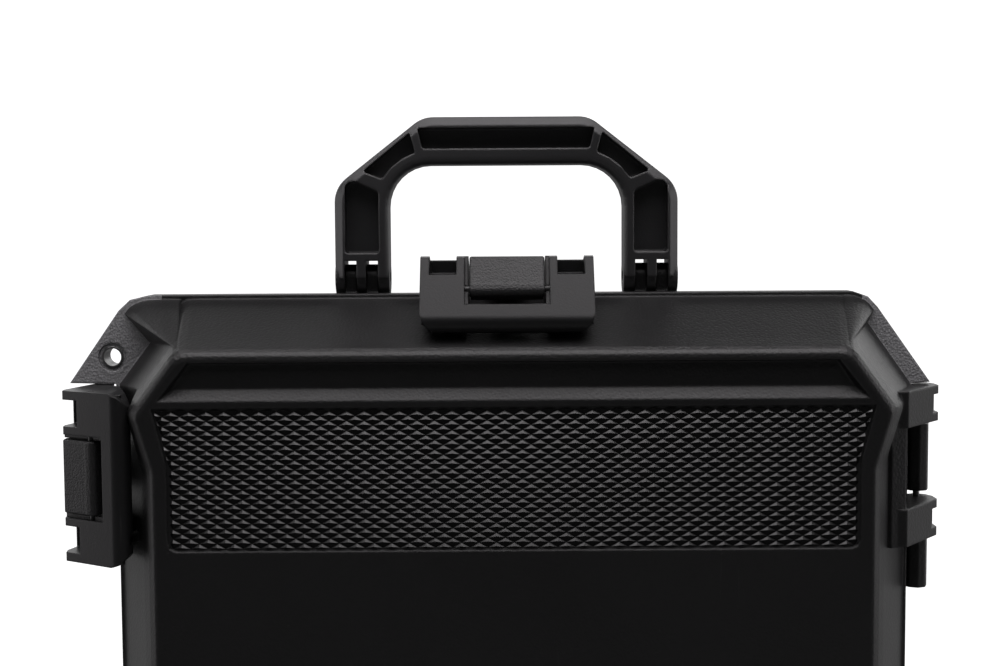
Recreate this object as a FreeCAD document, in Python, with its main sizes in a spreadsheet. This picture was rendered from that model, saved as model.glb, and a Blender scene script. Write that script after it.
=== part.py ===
import FreeCAD, Part
import Sketcher
import math
import os

# Hard protective transport case, long upright type: base shell, hinged lid,
# four trigger latches, two folding handles, foam, gasket, bushings and feet.
# Axes: X to the right (hinge side +X, latch side -X), Y to the back
# (lid toward -Y), Z up, ground at z = 0. Millimetres. Features are laid out
# from the parting plane y = 0 and the body centre plane x = 0; the finished
# pieces are moved by shift_x, shift_y so the origin is bottom centre.

os.makedirs("parts", exist_ok=True)
doc = FreeCAD.newDocument("transport_case")
sheet = doc.addObject("Spreadsheet::Sheet", "dims")


# ------------------------------------------------------ driving dimensions
class Dim:
    """A number together with the sheet formula that yields it."""

    def __init__(self, value, text):
        self.value = float(value)
        self.text = text

    def __add__(self, other):
        other = dim(other)
        return Dim(self.value + other.value, "(%s + %s)" % (self.text, other.text))

    def __radd__(self, other):
        return dim(other) + self

    def __sub__(self, other):
        other = dim(other)
        return Dim(self.value - other.value, "(%s - %s)" % (self.text, other.text))

    def __rsub__(self, other):
        return dim(other) - self

    def __mul__(self, other):
        other = dim(other)
        return Dim(self.value * other.value, "(%s * %s)" % (self.text, other.text))

    def __neg__(self):
        return Dim(-self.value, "(0 - %s)" % self.text)


def dim(number):
    if isinstance(number, Dim):
        return number
    return Dim(number, "(0 - %.9f)" % -number if number < 0 else "%.9f" % number)


class Case:
    """The driving dimensions, one Dim attribute per sheet alias."""


# alias, value, note
DIMS = [
    ("rim_top", 760.0, "upper edge of the rim above ground"),
    ("rim_low", 24.0, "lower edge of the rim above ground"),
    ("rim_half", 179.5, "half width of the rim at the flanks"),
    ("rim_ear", 200.4, "reach of the padlock plates on the latch side"),
    ("rim_ear_hinge", 189.2, "reach of the corner plates on the hinge side"),
    ("flange", 6.0, "thickness of each rim flange"),
    ("lid_depth", 52.0, "parting plane to lid front"),
    ("lid_shoulder", 42.0, "parting plane to the start of the front band"),
    ("base_depth", 92.0, "parting plane to base back"),
    ("base_half", 172.5, "half width of the base behind its flange"),
    ("cavity_half", 166.0, "half width of the cavity mouth"),
    ("cavity_top", 14.5, "rim edge to cavity mouth"),
    ("lid_floor", 45.0, "depth of the lid cavity"),
    ("base_floor", 87.5, "depth of the base cavity"),
    ("latch_half", 37.6, "half width of a latch"),
    ("latch_rise", 16.7, "latch outer end above the rim line"),
    ("notch_half", 18.4, "half width of the trigger notch"),
    ("trigger_half", 16.25, "half width of a trigger"),
    ("pivot_y", -42.0, "latch pivot depth position"),
    ("pivot_z", -10.5, "latch pivot from the rim line"),
    ("nose_r", 5.0, "latch nose radius"),
    ("pin_y", -35.5, "trigger pin depth position"),
    ("pin_z", 3.0, "trigger pin from the rim line"),
    ("pin_r", 1.5, "latch, trigger and hinge pin radius"),
    ("fit", 0.05, "radial running clearance"),
    ("hinge_x", 185.2, "lid hinge axis"),
    ("handle_pin_r", 2.5, "handle pin radius"),
    ("handle_y", 12.0, "handle axis behind the parting plane"),
    ("handle_rise", 7.0, "handle axis above the rim line"),
    ("handle_half", 78.4, "half width of a handle"),
    ("handle_inner", 53.7, "half width of the handle opening"),
    ("handle_height", 79.9, "handle top above the rim line"),
    ("handle_thick", 20.0, "handle thickness"),
    ("end_x", -2.3, "centre of the end handle and end latches"),
    ("side_ref", 180.2, "rim line of the latch side"),
    ("latch_drop", 78.0, "side latch centre from the rim end"),
    ("lock_x", 180.9, "padlock hole from the centre plane"),
    ("lock_drop", 27.8, "padlock hole from the rim end"),
    ("lock_bore", 3.9, "padlock bushing bore radius"),
    ("lock_outer", 4.8, "padlock bushing outside radius"),
    ("foot_x", 130.0, "foot centre from the centre plane"),
    ("foot_half", 20.0, "half width of a foot"),
    ("pad_h", 5.0, "rubber pad thickness"),
    ("foam_gap", 0.5, "foam to shell gap"),
    ("shift_x", 4.1, "moves the origin to the middle of the overall width"),
    ("shift_y", -20.0, "moves the origin to the middle of the overall depth"),
    ("edge_r", 10.0, "shell corner rounding"),
]
for row, (alias, value, note) in enumerate(DIMS, start=1):
    sheet.set("A%d" % row, note)
    sheet.set("B%d" % row, repr(value))
    sheet.setAlias("B%d" % row, alias)
    setattr(Case, alias, Dim(value, "dims." + alias))
doc.recompute()

TOP = Case.rim_top
LOW = Case.rim_low
MIDDLE = (TOP + LOW) * 0.5
LID_FRONT = -Case.lid_depth
BASE_BACK = Case.base_depth
LATCH_HALF = Case.latch_half
PIVOT_Y, PIVOT_Z = Case.pivot_y, Case.pivot_z
PIN_Y, PIN_Z = Case.pin_y, Case.pin_z
PIN_BORE = Case.pin_r + Case.fit
HINGE_X = Case.hinge_x
HANDLE_Y, HANDLE_RISE = Case.handle_y, Case.handle_rise
HANDLE_BORE = Case.handle_pin_r + Case.fit

X_AXIS = FreeCAD.Vector(1, 0, 0)
Y_AXIS = FreeCAD.Vector(0, 1, 0)
Z_AXIS = FreeCAD.Vector(0, 0, 1)
# plane: sign of the origin plane's normal, normal axis, its letter, turn of a free sketch
PLANES = {
    "XZ": (-1, Y_AXIS, "y", FreeCAD.Rotation(X_AXIS, 90)),
    "XY": (1, Z_AXIS, "z", FreeCAD.Rotation()),
    "YZ": (1, X_AXIS, "x", FreeCAD.Rotation(FreeCAD.Vector(1, 1, 1), 120)),
}


# ---------------------------------------------------------------- sketches
def circle(x, y, radius):
    return ("circle", x, y, radius)


def draw(profile, loops):
    """Draw point lists and circles, each coordinate bound to its formula."""
    edges, joins, binds = [], [], []
    for loop in loops:
        start = len(edges)
        if loop[0] == "circle":
            x, y, radius = [dim(number) for number in loop[1:]]
            centre = FreeCAD.Vector(x.value, y.value, 0)
            edges.append(Part.Circle(centre, Z_AXIS, radius.value))
            binds.append(("DistanceX", start, 3, x))
            binds.append(("DistanceY", start, 3, y))
            binds.append(("Radius", start, 0, radius))
            continue
        points = [(dim(x), dim(y)) for x, y in loop]
        count = len(points)
        for i, (x, y) in enumerate(points):
            j = (i + 1) % count
            next_x, next_y = points[j]
            edges.append(Part.LineSegment(FreeCAD.Vector(x.value, y.value, 0),
                                          FreeCAD.Vector(next_x.value, next_y.value, 0)))
            joins.append(Sketcher.Constraint("Coincident", start + i, 2, start + j, 1))
            binds.append(("DistanceX", start + i, 1, x))
            binds.append(("DistanceY", start + i, 1, y))
    profile.addGeometry(edges, False)
    bound = []
    for kind, edge, point, size in binds:
        if kind == "Radius":
            bound.append(Sketcher.Constraint(kind, edge, size.value))
        else:
            bound.append(Sketcher.Constraint(kind, -1, 1, edge, point, size.value))
    profile.addConstraint(joins + bound)
    for i, bind in enumerate(binds, start=len(joins)):
        profile.setExpression("Constraints[%d]" % i, bind[3].text)


def body_sketch(body, plane, at, loops):
    """Sketch attached to a body's origin plane, offset to coordinate at."""
    origin = [o for o in body.Origin.OriginFeatures if o.Role == plane + "_Plane"][0]
    profile = body.newObject("Sketcher::SketchObject", body.Name + "_sketch")
    profile.AttachmentSupport = [(origin, "")]
    profile.MapMode = "FlatFace"
    offset = dim(at) * PLANES[plane][0]
    profile.AttachmentOffset = FreeCAD.Placement(FreeCAD.Vector(0, 0, offset.value),
                                                 FreeCAD.Rotation())
    profile.setExpression("AttachmentOffset.Base.z", offset.text)
    draw(profile, loops)
    return profile


def free_sketch(plane, at, loops):
    sign, axis, letter, turn = PLANES[plane]
    profile = doc.addObject("Sketcher::SketchObject", "profile")
    profile.Placement = FreeCAD.Placement(axis * at.value, turn)
    profile.setExpression("Placement.Base." + letter, at.text)
    draw(profile, loops)
    return profile


# ---------------------------------------------------------------- features
def new_body(name):
    body = doc.addObject("PartDesign::Body", name)
    body.Label = name
    return body


def extrude(body, kind, suffix, plane, start, length, loops):
    profile = body_sketch(body, plane, start, loops)
    feature = body.newObject("PartDesign::" + kind, body.Name + suffix)
    feature.Profile = profile
    feature.Refine = False
    feature.Length = length.value
    feature.setExpression("Length", length.text)


def pad(body, plane, low, high, *loops):
    """Add material between coordinates low < high of the plane's normal axis."""
    start = low if PLANES[plane][0] > 0 else high
    extrude(body, "Pad", "_pad", plane, start, dim(high) - dim(low), loops)


def cut(body, plane, low, high, *loops):
    """Remove material between coordinates low < high; pockets run against the normal."""
    start = high if PLANES[plane][0] > 0 else low
    extrude(body, "Pocket", "_cut", plane, start, dim(high) - dim(low), loops)


def prism(plane, low, high, *loops):
    """Free-standing extrusion between coordinates low < high."""
    low, high = dim(low), dim(high)
    solid = doc.addObject("Part::Extrusion", "prism")
    solid.Base = free_sketch(plane, low, loops)
    solid.DirMode = "Custom"
    solid.Dir = PLANES[plane][1]
    solid.LengthFwd = (high - low).value
    solid.setExpression("LengthFwd", (high - low).text)
    solid.Solid = True
    return solid


def loft(body, kind, sections):
    """Ruled loft in XZ planes through (y, loop) sections."""
    profiles = [body_sketch(body, "XZ", y, [loop]) for y, loop in sections]
    feature = body.newObject("PartDesign::%sLoft" % kind, body.Name + "_loft")
    feature.Profile = profiles[0]
    feature.Sections = profiles[1:]
    feature.Ruled = True
    feature.Refine = False


def combine(name, body, added, removed):
    """One union and one difference around a PartDesign core."""
    whole = doc.addObject("Part::MultiFuse", name + "_union")
    whole.Shapes = [body] + added
    whole.Refine = False
    tools = doc.addObject("Part::Compound", name + "_cutters")
    tools.Links = removed
    result = doc.addObject("Part::Cut", name)
    result.Base = whole
    result.Tool = tools
    result.Refine = False
    result.Label = name
    return result


def group(name, items):
    compound = doc.addObject("Part::Compound", name)
    compound.Label = name
    compound.Links = items
    return compound


def round_edges(body, test, radius, kind="Fillet"):
    """Round or chamfer the tip edges chosen by test; None if it was not possible."""
    radius = dim(radius)
    doc.recompute()
    tip = body.Tip
    names = ["Edge%d" % i for i, e in enumerate(tip.Shape.Edges, start=1) if test(e)]
    if not names:
        return None
    feature = body.newObject("PartDesign::" + kind, body.Name + "_" + kind.lower())
    feature.Base = (tip, names)
    prop = "Radius" if kind == "Fillet" else "Size"
    setattr(feature, prop, radius.value)
    feature.setExpression(prop, radius.text)
    doc.recompute()
    # A rounding the kernel cannot build is taken out, and the edges stay sharp.
    if ("Invalid" in feature.State or "Error" in feature.State
            or feature.Shape.isNull() or not feature.Shape.isValid()):
        body.removeObject(feature)
        doc.removeObject(feature.Name)
        body.Tip = tip
        doc.recompute()
        return None
    return feature


def ends(edge):
    return [v.Point for v in edge.Vertexes] if len(edge.Vertexes) == 2 else []


def along(edge, axis):
    points = ends(edge)
    if not points:
        return False
    run = points[1] - points[0]
    return run.Length > 0.5 and abs(run.dot(axis)) > 0.999 * run.Length


def flat_at(edge, axis, level):
    points = ends(edge)
    return len(points) == 2 and all(abs(p.dot(axis) - level) < 0.02 for p in points)


def rod(x0, x1, y, z, radius, place):
    """Round pin along the local x axis."""
    x0, x1, y, z = dim(x0), dim(x1), dim(y), dim(z)
    pin = doc.addObject("Part::Cylinder", "rod")
    pin.setExpression("Radius", radius.text)
    pin.setExpression("Height", (x1 - x0).text)
    start = FreeCAD.Vector(x0.value, y.value, z.value)
    pin.Placement = place.multiply(FreeCAD.Placement(start, FreeCAD.Rotation(Y_AXIS, 90)))
    return pin


# ---------------------------------------------------------------- outlines
def box(x0, x1, y0, y1):
    return [(x0, y0), (x1, y0), (x1, y1), (x0, y1)]


def flipped(loop):
    return [(-x, z) for x, z in loop]


def both_sides(right):
    """Closed loop from its +x half, listed from top to bottom."""
    return flipped(reversed(right)) + right


def octagon(half, low, high, corner):
    """Rectangle with corners cut off at 45 degrees."""
    return both_sides([(half - corner, high), (half, high - corner),
                       (half, low + corner), (half - corner, low)])


def mirror_spans(spans):
    return spans + [(-high, -low) for low, high in spans]


def ring(right, left):
    """Closed outline from (half width, distance from rim end) lists."""
    points = [(-dim(x), TOP - drop) for x, drop in reversed(left)]
    points += [(x, TOP - drop) for x, drop in right]
    points += [(x, LOW + drop) for x, drop in reversed(right)]
    points += [(-dim(x), LOW + drop) for x, drop in left]
    return points


def even(corner):
    return ring(corner, corner)


FLANK_DROP = 360.0  # a point down the flank, gives the direction of the last side


def soft(points, radii, steps=3):
    """Corner list with each vertex replaced by a short curve."""
    curve = []
    last = len(points) - 1
    for i, radius in enumerate(radii):
        x, y = [dim(number) for number in points[i]]
        before = points[i - 1] if i else (0.0, points[0][1])
        after = points[i + 1] if i < last else (points[-1][0], FLANK_DROP)
        back = [dim(before[0]).value - x.value, dim(before[1]).value - y.value]
        ahead = [dim(after[0]).value - x.value, dim(after[1]).value - y.value]
        back_length, ahead_length = math.hypot(*back), math.hypot(*ahead)
        back = [part / back_length for part in back]
        ahead = [part / ahead_length for part in ahead]
        cosine = back[0] * ahead[0] + back[1] * ahead[1]
        half_angle = 0.5 * math.acos(max(-1.0, min(1.0, cosine)))
        tangent = radius / math.tan(half_angle)
        for k in range(steps + 1):
            share = k / steps
            to_back = (1 - share) ** 2 * tangent
            to_ahead = share ** 2 * tangent
            curve.append((x + (to_back * back[0] + to_ahead * ahead[0]),
                          y + (to_back * back[1] + to_ahead * ahead[1])))
    return curve


def shell(points, radii):
    return even(soft(points, radii))


# Outline points below are (half width, distance from rim end).
EDGE_R = Case.edge_r.value
RIM_RADII = [EDGE_R, 4.0, 3.0]
BAND_RADII = [EDGE_R, 5.0, 12.0]
BASE_RADII = [18.0, 18.0]
CAVITY_RADII = [14.0, 14.0]

LID_AT_RIM = ring(
    soft([(152.4, 0.5), (182.2, 42.5), (Case.rim_half, 47.5)], RIM_RADII),
    soft([(149.0, 0.5), (181.0, 42.5), (Case.rim_half, 47.5)], RIM_RADII))
# y, outline points: the lid from its shoulder to the front face
LID_BAND = [
    (-Case.lid_shoulder, [(145.0, 18.3), (167.5, 48.03), (160.0, 73.03)]),
    (LID_FRONT + 3.6, [(143.6, 21.1), (163.6, 48.4), (156.4, 73.0)]),
    (LID_FRONT + 1.5, [(142.8, 22.6), (161.9, 48.9), (154.7, 73.2)]),
    (LID_FRONT + 0.4, [(142.0, 24.0), (160.7, 49.6), (153.5, 73.6)]),
    (LID_FRONT, [(141.2, 25.7), (159.3, 50.6), (152.1, 74.3)]),
]
# y, outline points: the base from its flange to the back face
BASE_BAND = [
    (5.0, [(144.0, 7.0), (Case.base_half, 44.5)]),
    (BASE_BACK - 12.0, [(141.5, 12.2), (Case.base_half - 5.6, 45.6)]),
    (BASE_BACK - 4.0, [(140.2, 15.2), (Case.base_half - 8.4, 47.2)]),
    (BASE_BACK, [(137.5, 20.0), (Case.base_half - 13.5, 48.6)]),
]
RIM_HINGE_END = [(153.7, 0.0), (160.6, 2.4), (165.1, 7.2)]
RIM_LATCH_SIDE = [(164.0, 0.0), (172.4, 2.0), (177.7, 6.9),
                  (Case.rim_ear, 39.6), (Case.rim_half, 40.1)]
RIM_LID = ring(RIM_HINGE_END + [(Case.rim_ear_hinge, 41.3), (Case.rim_half, 42.0)],
               RIM_LATCH_SIDE)
RIM_BASE = ring(RIM_HINGE_END + [(177.3, 24.7), (177.3, 44.0), (Case.rim_half, 46.0)],
                RIM_LATCH_SIDE)
MOUTH = shell([(142.0, Case.cavity_top), (Case.cavity_half, 46.0)], CAVITY_RADII)
LID_CAVITY_FLOOR = shell([(141.0, 24.5), (Case.cavity_half - 12.5, 40.9)], CAVITY_RADII)
BASE_CAVITY_FLOOR = shell([(136.5, 21.5), (Case.cavity_half - 6.5, 50.5)], CAVITY_RADII)


# ------------------------------------------- places shared by the two shells
# The mappings turn (y, height outward from the rim line) into sketch points.
def top_point(y, height):
    return (dim(y), TOP + height)


def low_point(y, height):
    return (dim(y), LOW - dim(height))


def side_point(y, height):
    return (-(Case.side_ref + height), dim(y))


def side_handle_point(y, height):
    return (-(Case.rim_half + height), dim(y))


SIDE_LATCH_Z = (TOP - Case.latch_drop, LOW + Case.latch_drop)
# sketch plane, centre along the width, mapping
LATCH_SITES = [
    ("YZ", Case.end_x, top_point),
    ("YZ", Case.end_x, low_point),
    ("XY", SIDE_LATCH_Z[0], side_point),
    ("XY", SIDE_LATCH_Z[1], side_point),
]
HANDLE_SITES = [("YZ", Case.end_x, top_point), ("XY", MIDDLE, side_handle_point)]
# start height of each hinge, direction of its spans along z
HINGES = [(TOP, -1.0), (TOP - 278.65, -1.0), (LOW, 1.0)]
HINGE_BORE_SPAN = (42.2, 137.0)
HINGE_PIN_SPAN = (43.0, 136.0)
HINGE_BORE_Y = 0.001
LOCKS = [(-Case.lock_x, TOP - Case.lock_drop), (-Case.lock_x, LOW + Case.lock_drop)]
LOCK_SEAT_R = 6.3  # shallow counterbore around each padlock hole
LOCK_SEAT_Y = 5.2
BASE_PAD_Y = (6.0, 66.0)
LID_PAD_Y = (-28.0, -4.0)
SCREW_HOLE_R = 1.5
# Latch ears on the lid and handle lugs on the base, as spans from the site centre
EARS = mirror_spans([(24.5, 28.0)])
EAR_GAP = 0.3
LUGS = mirror_spans([(58.9, 64.1), (68.7, 73.8)])
LUG_GAP = 0.2


def middle(span):
    return 0.5 * (span[0] + span[1])


def hinge_span(origin, sign, near, far):
    if sign < 0:
        return origin - far, origin - near
    return origin + near, origin + far


def hinge_prisms(parts):
    """Prisms along every hinge from (near, far, loop) parts."""
    solids = []
    for origin, sign in HINGES:
        for near, far, loop in parts:
            low, high = hinge_span(origin, sign, near, far)
            solids.append(prism("XY", low, high, loop))
    return solids


def hinge_cutters(spans, slot):
    """The pin bore and the slots in the knuckles."""
    bore = circle(HINGE_X, HINGE_BORE_Y, PIN_BORE)
    return hinge_prisms([HINGE_BORE_SPAN + (bore,)] +
                        [(near, far, slot) for near, far in spans])


def lock_cutters(bore_span, seat_span):
    solids = []
    for x, z in LOCKS:
        solids.append(prism("XZ", *bore_span, circle(x, z, Case.lock_outer)))
        solids.append(prism("XZ", *seat_span, circle(x, z, LOCK_SEAT_R)))
    return solids


def foot_prisms(profile):
    solids = []
    for side in (1.0, -1.0):
        x = Case.foot_x * side
        solids.append(prism("YZ", x - Case.foot_half, x + Case.foot_half, profile))
    return solids


def foot_cutters(pad_y):
    return [prism("XY", 4.0, Case.pad_h + 12.0,
                  circle(Case.foot_x * side, middle(pad_y), SCREW_HOLE_R))
            for side in (1.0, -1.0)]


# --------------------------------------------------------------- lid shell
# Corner wedges behind the rim, (half width, distance from rim end)
WEDGE_HINGE_SIDE = [
    (150.0, 0.45), (152.4, 0.45), (155.3, 0.75), (158.0, 1.5), (160.5, 2.8),
    (162.9, 4.9), (164.9, 7.5), (161.9, 13.8), (154.0, 12.0),
]
WEDGE_LATCH_SIDE = [
    (150.0, 0.45), (161.0, 0.45), (165.0, 0.65), (168.6, 1.25), (172.0, 2.5),
    (175.0, 4.4), (177.3, 7.3), (165.6, 21.2), (152.0, 12.0),
]
WEDGE_SHRINK = 0.02
WEDGE_CENTRE = (155.0, 8.0)
WEDGE_TIP = (143.8, 20.7)
# Recess in the lid flank under a side latch, (y, height from the rim line)
SIDE_RECESS = [
    (-6.05, -2.4), (-36.0, -17.0), (-39.5, -18.2), (-42.5, -17.2),
    (-48.0, -13.4), (-53.0, -12.0), (-53.0, 10.0), (-6.05, 10.0),
]
# Hinge knuckle and the gusset beside it, (x, y)
LID_KNUCKLE = [
    (177.4, -3.2), (162.3, -34.2), (163.6, -35.0), (171.8, -35.0),
    (HINGE_X + 7.0, -9.0), (HINGE_X + 7.0, -1.5), (HINGE_X + 5.0, 3.2), (HINGE_X, 5.4),
    (HINGE_X - 3.9, 3.7), (HINGE_X - 5.4, 0.4), (HINGE_X - 5.4, -3.2),
]
LID_GUSSET = [(171.4, -14.0), (161.5, -33.6), (164.4, -36.5), (171.5, -33.5), (175.4, -16.0)]
LID_HINGE_PARTS = [(42.5, 58.5, LID_KNUCKLE), (94.3, 110.9, LID_KNUCKLE),
                   (57.0, 111.0, LID_GUSSET)]
LID_SLOT_SPANS = [(46.3, 54.7), (98.2, 107.0)]
# Stem of a latch ear, (y, z) from the latch pivot
EAR_STEM = [(0.85, 1.81), (-0.85, -1.81), (11.83, -7.73), (13.53, -4.11)]
EAR_R = 3.4
LID_FOOT = [
    (-2.0, Case.pad_h), (-30.0, Case.pad_h), (-36.0, Case.pad_h + 7.0),
    (-36.0, LOW + 17.5), (-2.0, LOW + 3.0),
]
# Shallow panel near the top of the lid front, (half width, distance from rim top)
LID_PANEL = [
    (153.6, 46.1), (150.6, 58.0), (147.6, 70.0), (147.6, 103.8), (146.4, 106.3), (144.0, 107.4),
]


def add_corner_wedges(lid):
    for side, outline in ((1.0, WEDGE_HINGE_SIDE), (-1.0, WEDGE_LATCH_SIDE)):
        for end, inward in ((TOP, -1.0), (LOW, 1.0)):
            wide = [(x * side, end + drop * inward) for x, drop in outline]
            tight = [((WEDGE_TIP[0] + WEDGE_SHRINK * (x - WEDGE_CENTRE[0])) * side,
                      end + (WEDGE_TIP[1] + WEDGE_SHRINK * (drop - WEDGE_CENTRE[1])) * inward)
                     for x, drop in outline]
            loft(lid, "Additive", [(-3.0, wide), (-45.0, tight)])


def latch_ears():
    solids = []
    for plane, centre, point in LATCH_SITES:
        stem = [point(PIVOT_Y + y, PIVOT_Z + z) for y, z in EAR_STEM]
        eye = circle(*point(PIVOT_Y, PIVOT_Z), EAR_R)
        for low, high in EARS:
            solids.append(prism(plane, centre + low, centre + high, stem))
            solids.append(prism(plane, centre + low, centre + high, eye))
    return solids


def make_lid_shell():
    lid = new_body("lid_core")
    loft(lid, "Additive", [(-3.0, LID_AT_RIM)] +
         [(y, shell(points, BAND_RADII)) for y, points in LID_BAND])
    add_corner_wedges(lid)
    recess = [side_point(y, height) for y, height in SIDE_RECESS]
    for z in SIDE_LATCH_Z:
        cut(lid, "XY", z - (LATCH_HALF + 1.0), z + (LATCH_HALF + 1.0), recess)
    pad(lid, "XZ", -Case.flange, -0.05, RIM_LID)
    added = hinge_prisms(LID_HINGE_PARTS) + latch_ears() + foot_prisms(LID_FOOT)
    # Cavity, gasket groove, then the two recesses of the front face.
    loft(lid, "Subtractive", [(0.01, MOUTH), (-Case.lid_floor, LID_CAVITY_FLOOR)])
    cut(lid, "XZ", -3.6, 0.0, even([(147.0, 5.5), (174.0, 44.0)]),
        even([(144.6, 10.5), (169.0, 44.6)]))
    outer = [(-138.0, TOP - 26.6), (138.0, TOP - 26.6), (152.0, TOP - 43.9),
             (-152.0, TOP - 43.9)]
    floor = [(-137.5, TOP - 27.4), (137.5, TOP - 27.4), (145.0, TOP - 38.3),
             (-145.0, TOP - 38.3)]
    loft(lid, "Subtractive", [(LID_FRONT - 0.5, outer), (LID_FRONT + 3.5, floor)])
    cut(lid, "XZ", LID_FRONT - 1.0, LID_FRONT + 1.0,
        both_sides([(x, TOP - drop) for x, drop in LID_PANEL]))
    removed = [prism(plane, centre - 30.0, centre + 30.0,
                     circle(*point(PIVOT_Y, PIVOT_Z), PIN_BORE))
               for plane, centre, point in LATCH_SITES]
    removed += hinge_cutters(LID_SLOT_SPANS, box(HINGE_X + 3.2, HINGE_X + 8.0, -2.2, -20.0))
    removed += lock_cutters((-8.0, 1.0), (-8.0, -LOCK_SEAT_Y))
    removed += foot_cutters(LID_PAD_Y)
    return combine("lid_shell", lid, added, removed)


# -------------------------------------------------------------- base shell
# Hinge knuckle, (x, y)
BASE_KNUCKLE = [
    (171.0, 34.0), (172.6, 34.0), (HINGE_X + 5.5, 12.0), (HINGE_X + 5.5, 0.5),
    (HINGE_X + 3.6, -3.9), (HINGE_X, -5.4), (HINGE_X - 3.8, -3.8), (HINGE_X - 5.3, -0.8),
    (HINGE_X - 5.3, 0.4), (171.0, 0.4),
]
BASE_HINGE_PARTS = [(60.9, 91.4, BASE_KNUCKLE), (112.0, 136.2, BASE_KNUCKLE)]
BASE_SLOT_SPANS = [(64.4, 73.8), (78.4, 87.9), (115.4, 132.8)]
# Small block on the flange under each latch, (y, height from the rim line)
LATCH_BLOCK = [(1.0, -2.5), (6.0, -2.5), (6.0, 4.5), (2.5, 4.5), (1.0, 3.0)]
LATCH_BLOCK_HALF = 12.0
LUG_FOOT = [(5.8, -11.0), (18.0, -11.0), (18.0, HANDLE_RISE), (HANDLE_Y - 6.0, HANDLE_RISE)]
LUG_R = 6.0
BASE_FOOT = [
    (2.0, Case.pad_h), (70.0, Case.pad_h), (76.0, Case.pad_h + 7.0),
    (76.0, LOW + 15.0), (2.0, LOW + 9.0),
]
# bottom, top of the shallow octagons in the back face
BACK_PANELS = [(TOP - 206.0, TOP - 58.0), (LOW + 216.0, TOP - 216.0),
               (LOW + 58.0, LOW + 206.0)]


def handle_lugs():
    solids = []
    for plane, centre, point in HANDLE_SITES:
        foot = [point(y, height) for y, height in LUG_FOOT]
        eye = circle(*point(HANDLE_Y, HANDLE_RISE), LUG_R)
        for low, high in LUGS:
            solids.append(prism(plane, centre + low, centre + high, foot))
            solids.append(prism(plane, centre + low, centre + high, eye))
    return solids


def make_base_shell():
    base = new_body("base_core")
    loft(base, "Additive", [(y, shell(points, BASE_RADII)) for y, points in BASE_BAND])
    pad(base, "XZ", 0.0, Case.flange, RIM_BASE)
    added = hinge_prisms(BASE_HINGE_PARTS)
    added += [prism(plane, centre - LATCH_BLOCK_HALF, centre + LATCH_BLOCK_HALF,
                    [point(y, height) for y, height in LATCH_BLOCK])
              for plane, centre, point in LATCH_SITES]
    added += handle_lugs() + foot_prisms(BASE_FOOT)
    loft(base, "Subtractive", [(-0.01, MOUTH), (Case.base_floor, BASE_CAVITY_FLOOR)])
    for low, high in BACK_PANELS:
        cut(base, "XZ", BASE_BACK - 1.5, BASE_BACK + 1.0, octagon(122.0, low, high, 10.0))
    removed = [prism(plane, centre - 80.0, centre + 80.0,
                     circle(*point(HANDLE_Y, HANDLE_RISE), HANDLE_BORE))
               for plane, centre, point in HANDLE_SITES]
    removed += hinge_cutters(BASE_SLOT_SPANS, box(HINGE_X + 2.6, HINGE_X + 8.0, 2.2, 13.0))
    removed += lock_cutters((-1.0, 8.0), (LOCK_SEAT_Y, 8.0))
    removed += foot_cutters(BASE_PAD_Y)
    return combine("base_shell", base, added, removed)


# ----------------------------------------------------------- gasket, foam
def make_gasket():
    gasket = new_body("lid_gasket")
    pad(gasket, "XZ", -3.5, -0.1, even([(146.8, 5.7), (173.8, 44.0)]),
        even([(144.8, 10.3), (169.2, 44.6)]))
    return gasket


def make_lid_foam():
    foam = new_body("lid_foam")
    mouth = shell([(141.2, 17.0), (Case.cavity_half - 2.8, 46.0)], CAVITY_RADII)
    floor = shell([(139.8, 25.6), (Case.cavity_half - 13.6, 42.2)], CAVITY_RADII)
    loft(foam, "Additive", [(-6.0, mouth), (-Case.lid_floor + Case.foam_gap, floor)])
    return foam


def make_base_foam():
    """Foam block with one octagonal pocket open to the front."""
    foam = new_body("base_foam")
    mouth = shell([(141.2, Case.cavity_top + 1.0), (Case.cavity_half - 1.0, 47.0)],
                  CAVITY_RADII)
    floor = shell([(135.8, 22.4), (Case.cavity_half - 7.4, 51.6)], CAVITY_RADII)
    loft(foam, "Additive", [(1.0, mouth), (Case.base_floor - Case.foam_gap, floor)])
    cut(foam, "XZ", 0.0, 66.0, octagon(128.0, LOW + 72.0, TOP - 72.0, 16.0))
    return foam


# ---------------------------------------------------------------- latches
# Latch frame: x along the width, y as the case, z outward from the rim line.
# Side profile of a latch, (y, z)
LATCH_SIDE = [
    (-46.21, -7.80), (-30.5, Case.latch_rise), (-26.0, Case.latch_rise + 0.5), (2.0, 9.5),
    (2.0, 2.2), (-8.0, 1.6), (-13.0, -3.0), (-35.0, -12.6), (-39.9, -15.04),
    (PIVOT_Y, PIVOT_Z),
]
# Material taken off the lower +x corner, (x, z)
LATCH_CORNER = [
    (LATCH_HALF - 6.4, -19.0), (LATCH_HALF - 5.6, -15.0), (LATCH_HALF - 3.4, -13.4),
    (LATCH_HALF - 1.3, -10.8), (LATCH_HALF + 0.1, -6.6), (LATCH_HALF + 2.0, -6.6),
    (LATCH_HALF + 2.0, -19.0),
]
TRIGGER_NOTCH = [(-60.0, -3.1), (-40.2, -3.1), (-27.0, 17.5), (-27.0, 30.0), (-60.0, 30.0)]
# Relief below the trigger slot, (y, z)
SLOT_RELIEF = [(-39.2, -2.6), (-38.4, -5.6), (-37.2, -9.0), (-34.6, -14.0),
               (-30.0, -14.0), (4.0, -2.6)]
SLOT_GAP = 0.45
# Room for a lid ear, (y, z) from the latch pivot
EAR_ROOM = [(0.99, 2.13), (11.9, -2.9), (12.5, -9.0), (6.0, -12.0), (-1.56, -9.2),
            (-2.34, -0.2)]
EAR_ROOM_R = 3.75
TRIGGER_SIDE = [(-41.5, -0.6), (-30.3, 16.9), (-25.4, 17.0), (-23.5, 12.0), (-30.0, -0.6)]
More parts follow.
